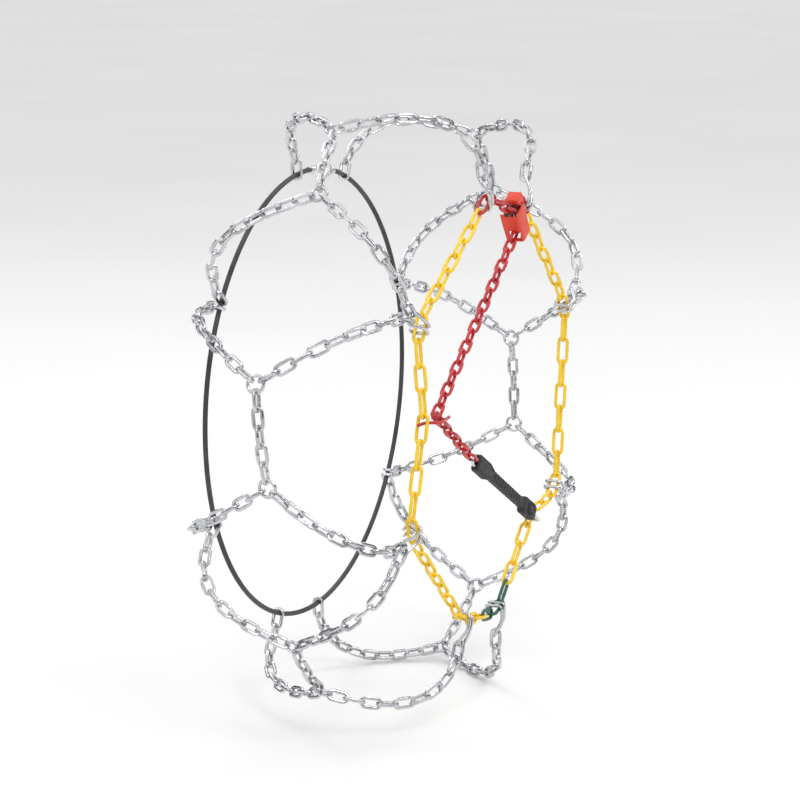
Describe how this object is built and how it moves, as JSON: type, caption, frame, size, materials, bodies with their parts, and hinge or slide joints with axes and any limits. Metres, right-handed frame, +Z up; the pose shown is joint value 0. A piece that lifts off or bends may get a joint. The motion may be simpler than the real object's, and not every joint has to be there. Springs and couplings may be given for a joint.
{
  "type": "tire snow chain",
  "caption": "Fitted snow chain for one car wheel: a diagonal net of steel links, a coloured side chain with a tensioning chain and lock, a rubber tensioner strap and a rear cable hoop.",
  "frame": {"origin": "centre of the wheel that the chain is fitted on, on the axle, midway between the tyre's flanks", "axes": "+Y along the axle towards the car, so the outer side of the wheel faces -Y; +Z up; the tread at -X faces the reader who looks at the outer side from the front left"},
  "size_m": [0.6416, 0.2252, 0.611],
  "materials": {
    "zinc_steel": "zinc-plated hardened steel wire, satin, with small rub marks",
    "yellow_paint": "yellow lacquer over steel wire, semi-gloss",
    "red_paint": "crimson lacquer over steel wire, semi-gloss",
    "green_paint": "dark green lacquer over steel wire, semi-gloss",
    "red_plastic": "moulded orange-red plastic, semi-gloss",
    "black_rubber": "moulded rubber, satin",
    "cable_sleeve": "extruded plastic sleeve over wire rope, matt",
    "bright_steel": "bright zinc-plated steel, satin"
  },
  "bodies": {
    "net": {"centre_run_front_lower": "zinc_steel", "centre_run_front_middle": "zinc_steel", "centre_run_front_upper": "zinc_steel", "centre_run_rear_lower": "zinc_steel", "centre_run_rear_middle": "zinc_steel", "centre_run_rear_upper": "zinc_steel", "closing_link": "green_paint", "guide_hook": "red_paint", "inner_cross_front_lower_after": "zinc_steel", "inner_cross_front_lower_before": "zinc_steel", "inner_cross_front_middle_after": "zinc_steel", "inner_cross_front_middle_before": "zinc_steel", "inner_cross_front_upper_after": "zinc_steel", "inner_cross_front_upper_before": "zinc_steel", "inner_cross_rear_lower_after": "zinc_steel", "inner_cross_rear_lower_before": "zinc_steel", "inner_cross_rear_middle_after": "zinc_steel", "inner_cross_rear_middle_before": "zinc_steel", "inner_cross_rear_upper_after": "zinc_steel", "inner_cross_rear_upper_before": "zinc_steel", "lock_cover": "red_plastic", "lock_frame": "bright_steel", "lock_spring": "bright_steel", "outer_cross_front_lower_after": "zinc_steel", "outer_cross_front_lower_before": "zinc_steel", "outer_cross_front_middle_after": "zinc_steel", "outer_cross_front_middle_before": "zinc_steel", "outer_cross_front_upper_after": "zinc_steel", "outer_cross_front_upper_before": "zinc_steel", "outer_cross_rear_lower_after": "zinc_steel", "outer_cross_rear_lower_before": "zinc_steel", "outer_cross_rear_middle_after": "zinc_steel", "outer_cross_rear_middle_before": "zinc_steel", "outer_cross_rear_upper_after": "zinc_steel", "outer_cross_rear_upper_before": "zinc_steel", "rear_hoop_cable": "cable_sleeve", "rear_hoop_eye": "bright_steel", "rear_hoop_fork": "bright_steel", "side_chain_end": "red_paint", "side_chain_front_lower": "yellow_paint", "side_chain_front_middle": "yellow_paint", "side_chain_front_upper": "yellow_paint", "side_chain_rear_lower": "yellow_paint", "side_chain_rear_middle": "yellow_paint", "side_chain_rear_upper": "yellow_paint", "side_hook_1": "zinc_steel", "side_hook_2": "zinc_steel", "side_hook_3": "zinc_steel", "side_hook_4": "zinc_steel", "side_hook_5": "zinc_steel", "side_hook_6": "zinc_steel", "side_hook_7": "zinc_steel", "side_hook_8": "zinc_steel", "tension_chain": "red_paint"},
    "tail": {"tension_chain_tail": "red_paint"},
    "strap": {"tensioner_strap": "black_rubber", "tensioner_eye": "bright_steel"},
    "strap_hook": {"tensioner_hook": "bright_steel"},
    "pawl": {"lock_pawl": "red_plastic"},
    "hoop_hook": {"rear_hoop_hook": "bright_steel"}
  },
  "joints": [
    {"name": "tail_swing", "type": "hinge", "parent": "net", "child": "tail", "pos_m": [-0.14645, -0.1085, 0.01614], "axis": [-0.5543, 0, -0.8323], "range_deg": [0, 12]},
    {"name": "strap_swing", "type": "hinge", "parent": "tail", "child": "strap", "pos_m": [-0.06634, -0.1085, -0.03732], "axis": [-0.4973, 0, -0.8676], "range_deg": [0, 60]},
    {"name": "strap_stretch", "type": "slide", "parent": "strap", "child": "strap_hook", "axis": [0.8676, 0, -0.4973], "range_m": [0, 0.008], "stiffness_N_per_m": 600},
    {"name": "lock_release", "type": "hinge", "parent": "net", "child": "pawl", "pos_m": [0.04495, -0.107, 0.20107], "axis": [0, 1, 0], "range_deg": [0, 10], "stiffness_Nm_per_rad": 0.05},
    {"name": "hoop_hook_open", "type": "hinge", "parent": "net", "child": "hoop_hook", "pos_m": [0.0179, 0.1045, 0.22781], "axis": [0.1219, 0, 0.9925], "range_deg": [0, 70]}
  ]
}
